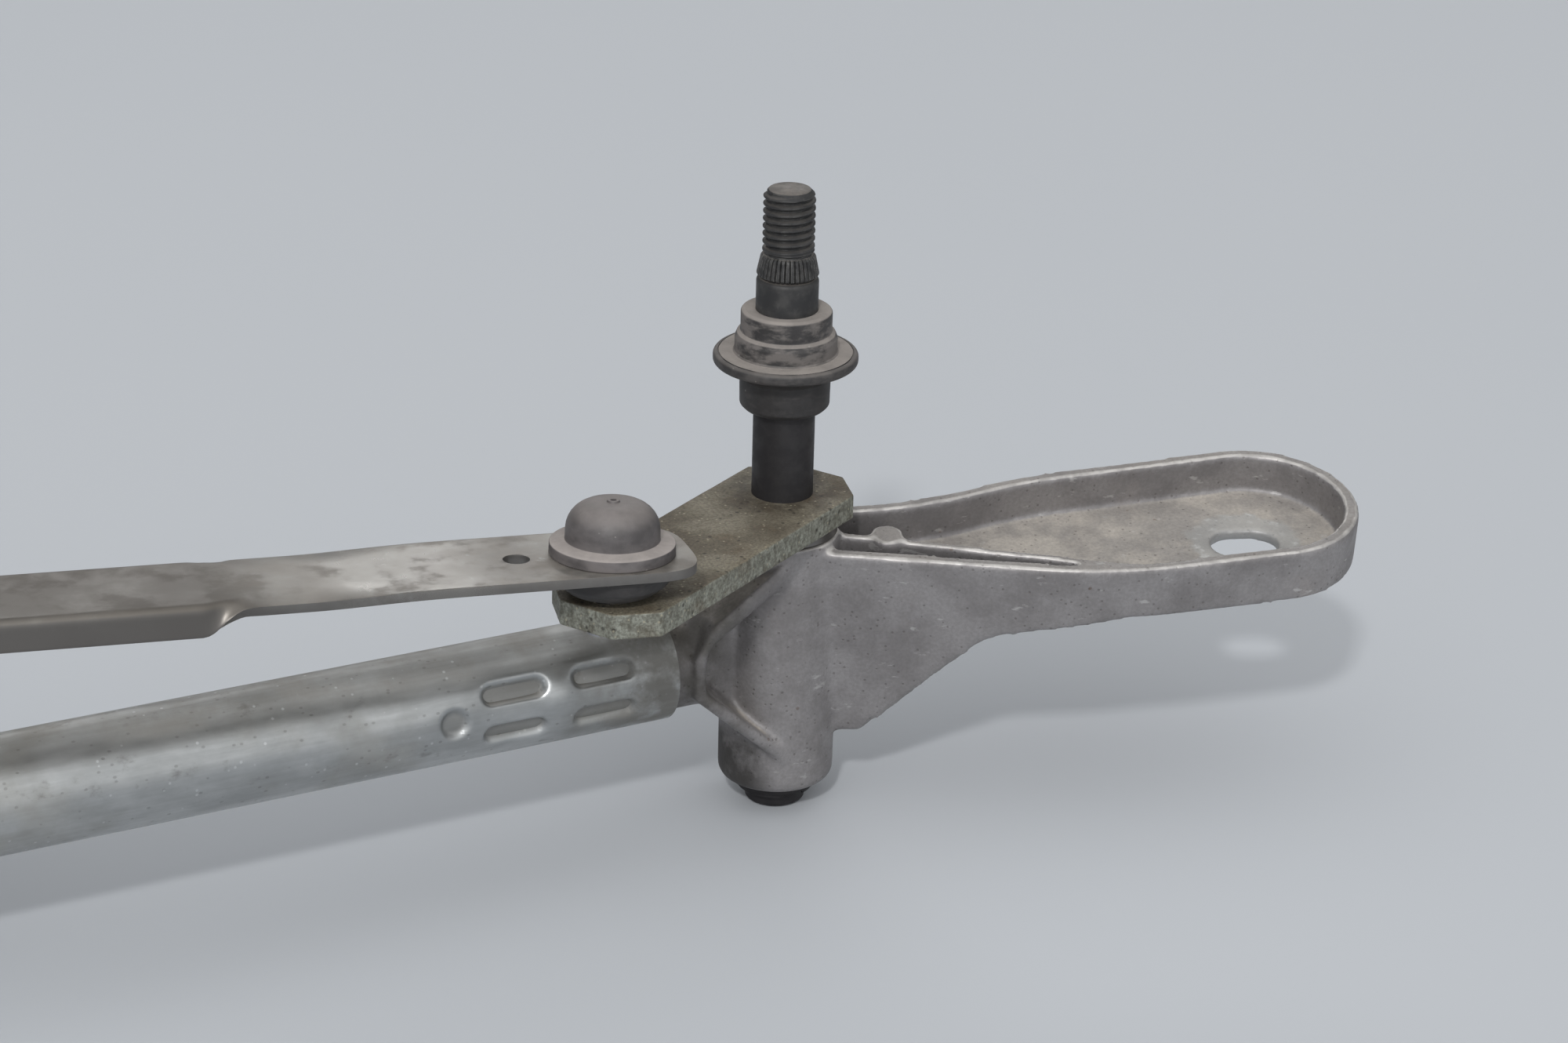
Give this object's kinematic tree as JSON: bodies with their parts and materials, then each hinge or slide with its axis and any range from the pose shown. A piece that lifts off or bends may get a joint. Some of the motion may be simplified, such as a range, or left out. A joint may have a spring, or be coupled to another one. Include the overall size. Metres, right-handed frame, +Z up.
{
  "type": "wiper linkage",
  "caption": "Windscreen wiper linkage: tube frame with cast pivot housings and fixing ears, threaded shafts with levers, a motor bracket, a crank and ball-jointed drive rods.",
  "frame": {"origin": "on the right wiper shaft's axis, where the thread for the arm nut begins", "axes": "+X along the frame tube towards the right pivot, +Y to the back, +Z up along both wiper shafts"},
  "size_m": [0.7074, 0.1448, 0.1282],
  "materials": {
    "tube_zinc": "dull blue-grey zinc",
    "cast_aluminium": "as die-cast, stained",
    "rod_zinc": "weathered zinc",
    "lever_zinc": "olive zinc passivate, dirty",
    "shaft_steel": "black phosphate",
    "stud_steel": "ground steel, greased",
    "bush_bronze": "sintered bronze",
    "seal_rubber": "dusty grey rubber",
    "boot_rubber": "black rubber",
    "socket_plastic": "dusty grey nylon"
  },
  "bodies": {
    "frame": {"frame_tube": "tube_zinc", "right_housing": "cast_aluminium", "left_housing": "cast_aluminium", "motor_bracket": "tube_zinc", "right_upper_bush": "bush_bronze", "right_lower_bush": "bush_bronze", "left_upper_bush": "bush_bronze", "left_lower_bush": "bush_bronze"},
    "right_wiper": {"right_shaft": "shaft_steel", "right_lever": "lever_zinc", "right_ball_stud": "stud_steel", "right_shaft_seal": "seal_rubber", "right_seal_ring": "boot_rubber", "right_thrust_washer": "shaft_steel", "right_lower_washer": "shaft_steel", "right_retaining_ring": "shaft_steel"},
    "left_wiper": {"left_shaft": "shaft_steel", "left_lever": "lever_zinc", "left_ball_stud": "stud_steel", "left_shaft_seal": "seal_rubber", "left_seal_ring": "boot_rubber", "left_thrust_washer": "shaft_steel", "left_lower_washer": "shaft_steel", "left_retaining_ring": "shaft_steel"},
    "crank": {"motor_crank": "lever_zinc", "crank_upper_stud": "stud_steel", "crank_lower_stud": "stud_steel"},
    "right_rod": {"right_rod": "rod_zinc", "right_rod_outer_socket": "socket_plastic", "right_rod_inner_socket": "socket_plastic", "right_rod_outer_boot": "boot_rubber", "right_rod_inner_boot": "boot_rubber"},
    "left_rod": {"left_rod": "rod_zinc", "left_rod_outer_socket": "socket_plastic", "left_rod_inner_socket": "socket_plastic", "left_rod_outer_boot": "boot_rubber", "left_rod_inner_boot": "boot_rubber"}
  },
  "joints": [
    {"name": "crank_turn", "type": "hinge", "parent": "frame", "child": "crank", "pos_m": [-0.236, 0.042, -0.05], "axis": [0, 0, 1], "range_deg": [0, 88]},
    {"name": "right_wiper_turn", "type": "hinge", "parent": "frame", "child": "right_wiper", "pos_m": [0, 0, -0.05], "axis": [0, 0, 1], "range_deg": [0, 88]},
    {"name": "left_wiper_turn", "type": "hinge", "parent": "frame", "child": "left_wiper", "pos_m": [-0.48, 0, -0.05], "axis": [0, 0, 1], "range_deg": [0, 88]},
    {"name": "right_rod_turn", "type": "hinge", "parent": "right_wiper", "child": "right_rod", "pos_m": [-0.05023, -0.029, -0.05], "axis": [0, 0, 1], "range_deg": [-88, 0]},
    {"name": "left_rod_turn", "type": "hinge", "parent": "left_wiper", "child": "left_rod", "pos_m": [-0.51243, -0.04808, -0.05], "axis": [0, 0, 1], "range_deg": [-88, 0]}
  ],
  "couplings": [
    {"joint": "right_wiper_turn", "follows": "crank_turn", "ratio": 1},
    {"joint": "left_wiper_turn", "follows": "crank_turn", "ratio": 1},
    {"joint": "right_rod_turn", "follows": "crank_turn", "ratio": -1},
    {"joint": "left_rod_turn", "follows": "crank_turn", "ratio": -1}
  ]
}
